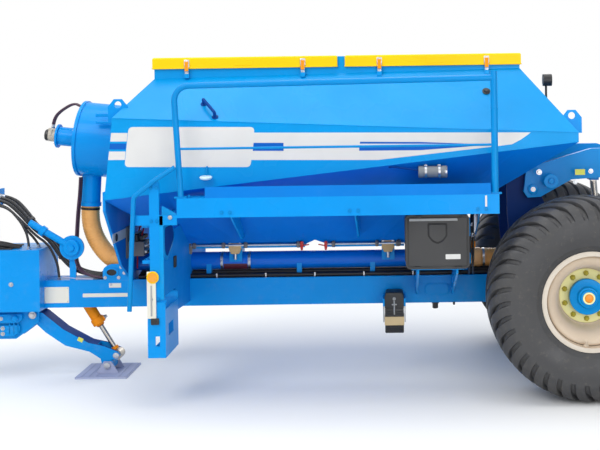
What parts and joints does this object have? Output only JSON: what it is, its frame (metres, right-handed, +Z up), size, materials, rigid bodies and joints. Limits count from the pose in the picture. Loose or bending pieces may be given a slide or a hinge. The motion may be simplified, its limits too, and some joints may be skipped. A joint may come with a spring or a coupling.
{
  "type": "seed hopper cart",
  "caption": "Towed seed hopper cart: two-compartment hopper with hinged lids on a spine beam with wheels, parking leg, fan, ladder, platform and rear lift.",
  "frame": {"origin": "on the ground under the middle of the whole machine", "axes": "+X towards the rear, +Y towards the right side, -Y towards the side with the ladder and platform, +Z up"},
  "size_m": [6.8, 2.55, 2.556],
  "materials": {
    "blue_paint": "gloss",
    "light_blue_paint": "gloss",
    "yellow_paint": "gloss",
    "latch_paint": "satin",
    "rail_paint": "gloss",
    "zinc_grey": "satin",
    "rod_chrome": "polished",
    "orange_paint": "satin",
    "tyre_rubber": "matt",
    "cream_paint": "satin",
    "orange_hose": "satin",
    "black_rubber": "matt",
    "grey_box": "matt",
    "black_plastic": "matt",
    "motor_grey": "satin",
    "canister_grey": "matt",
    "cream_plate": "satin",
    "amber": "gloss"
  },
  "bodies": {
    "chassis": {"air_hose": "orange_hose", "air_pipe": "blue_paint", "amber_reflector": "amber", "axle": "blue_paint", "chock_bracket": "blue_paint", "document_canister": "canister_grey", "drawbar": "blue_paint", "fan_housing": "blue_paint", "fan_motor": "motor_grey", "front_bulkhead": "blue_paint", "front_crossframe": "blue_paint", "front_metering_unit": "blue_paint", "grab_rail": "rail_paint", "handrail": "rail_paint", "head_block": "blue_paint", "hopper_collar": "light_blue_paint", "hopper_front_wall": "blue_paint", "hopper_partition": "blue_paint", "hopper_rear_wall": "blue_paint", "hose_carrier": "blue_paint", "hydraulic_hoses": "black_rubber", "ladder_frame": "blue_paint", "left_hopper_side": "blue_paint", "left_tower": "blue_paint", "leg_bracket": "blue_paint", "lifting_eyes": "blue_paint", "marker_plate": "cream_plate", "pipe_supports": "blue_paint", "platform_hangers": "blue_paint", "rear_air_hose": "orange_hose", "rear_metering_unit": "blue_paint", "right_hopper_side": "blue_paint", "right_tower": "blue_paint", "spine_beam": "blue_paint", "toolbox": "grey_box", "toolbox_bracket": "blue_paint", "wheel_chock": "black_plastic", "work_lamp": "black_plastic", "work_platform": "blue_paint"},
    "left_wheel": {"left_tyre": "tyre_rubber", "left_rim": "cream_paint", "left_hub": "blue_paint"},
    "right_wheel": {"right_tyre": "tyre_rubber", "right_rim": "cream_paint", "right_hub": "blue_paint"},
    "leg": {"parking_leg": "blue_paint"},
    "foot": {"leg_foot": "zinc_grey"},
    "leg_barrel": {"leg_cylinder_barrel": "orange_paint"},
    "leg_rod": {"leg_cylinder_rod": "rod_chrome"},
    "front_cover": {"front_lid": "yellow_paint", "front_lid_latches": "latch_paint"},
    "rear_cover": {"rear_lid": "yellow_paint", "rear_lid_latches": "latch_paint"},
    "tool_door": {"toolbox_door": "grey_box"},
    "lower_ladder": {"folding_ladder": "blue_paint"},
    "rear_arms": {"lift_arms": "blue_paint"},
    "lift_barrel": {"lift_cylinder_barrel": "orange_paint"},
    "lift_rod": {"lift_cylinder_rod": "rod_chrome"},
    "hitch": {"hitch_crossbar": "blue_paint"}
  },
  "joints": [
    {"name": "left_wheel_turn", "type": "hinge", "parent": "chassis", "child": "left_wheel", "pos_m": [2.32, -0.955, 0.74], "axis": [0, 1, 0], "continuous": true},
    {"name": "right_wheel_turn", "type": "hinge", "parent": "chassis", "child": "right_wheel", "pos_m": [2.32, 0.955, 0.74], "axis": [0, 1, 0], "continuous": true},
    {"name": "leg_fold", "type": "hinge", "parent": "chassis", "child": "leg", "pos_m": [-2.05, 0, 0.5], "axis": [0, -1, 0], "range_deg": [0, 24]},
    {"name": "foot_level", "type": "hinge", "parent": "leg", "child": "foot", "pos_m": [-1.453, 0, 0.075], "axis": [0, -1, 0], "range_deg": [-24, 0]},
    {"name": "leg_barrel_swing", "type": "hinge", "parent": "chassis", "child": "leg_barrel", "pos_m": [-1.69, 0, 0.65], "axis": [0, -1, 0], "range_deg": [0, 30.59]},
    {"name": "leg_rod_slide", "type": "slide", "parent": "leg_barrel", "child": "leg_rod", "axis": [0.5195, 0, -0.8545], "range_m": [-0.1502, 0]},
    {"name": "front_lid_open", "type": "hinge", "parent": "chassis", "child": "front_cover", "pos_m": [-0.2255, 0.668, 2.486], "axis": [-1, 0, 0], "range_deg": [0, 100]},
    {"name": "rear_lid_open", "type": "hinge", "parent": "chassis", "child": "rear_cover", "pos_m": [1.2195, 0.668, 2.486], "axis": [-1, 0, 0], "range_deg": [0, 100]},
    {"name": "toolbox_door_open", "type": "hinge", "parent": "chassis", "child": "tool_door", "pos_m": [1.2225, -1.05, 0.966], "axis": [1, 0, 0], "range_deg": [0, 90]},
    {"name": "ladder_fold", "type": "hinge", "parent": "chassis", "child": "lower_ladder", "pos_m": [-0.757, -0.97, 0.765], "axis": [0, -1, 0], "range_deg": [0, 90]},
    {"name": "rear_lift", "type": "hinge", "parent": "chassis", "child": "rear_arms", "pos_m": [1.985, 0, 1.5], "axis": [0, 1, 0], "range_deg": [0, 20]},
    {"name": "lift_barrel_swing", "type": "hinge", "parent": "chassis", "child": "lift_barrel", "pos_m": [2.6, 0, 0.88], "axis": [0, -1, 0], "range_deg": [0, 3.05]},
    {"name": "lift_rod_slide", "type": "slide", "parent": "lift_barrel", "child": "lift_rod", "axis": [-0.0806, 0, 0.9967], "range_m": [-0.1969, 0]},
    {"name": "hitch_swivel", "type": "hinge", "parent": "chassis", "child": "hitch", "pos_m": [-3.21, 0, 0.7], "axis": [0, 0, 1], "range_deg": [-50, 50]}
  ],
  "couplings": [
    {"joint": "foot_level", "follows": "leg_fold", "ratio": -1},
    {"joint": "leg_barrel_swing", "follows": "leg_fold", "ratio": 1.2663},
    {"joint": "leg_rod_slide", "follows": "leg_fold", "m_per_rad": -0.35746},
    {"joint": "lift_barrel_swing", "follows": "rear_lift", "ratio": 0.1423},
    {"joint": "lift_rod_slide", "follows": "rear_lift", "m_per_rad": -0.56276}
  ]
}
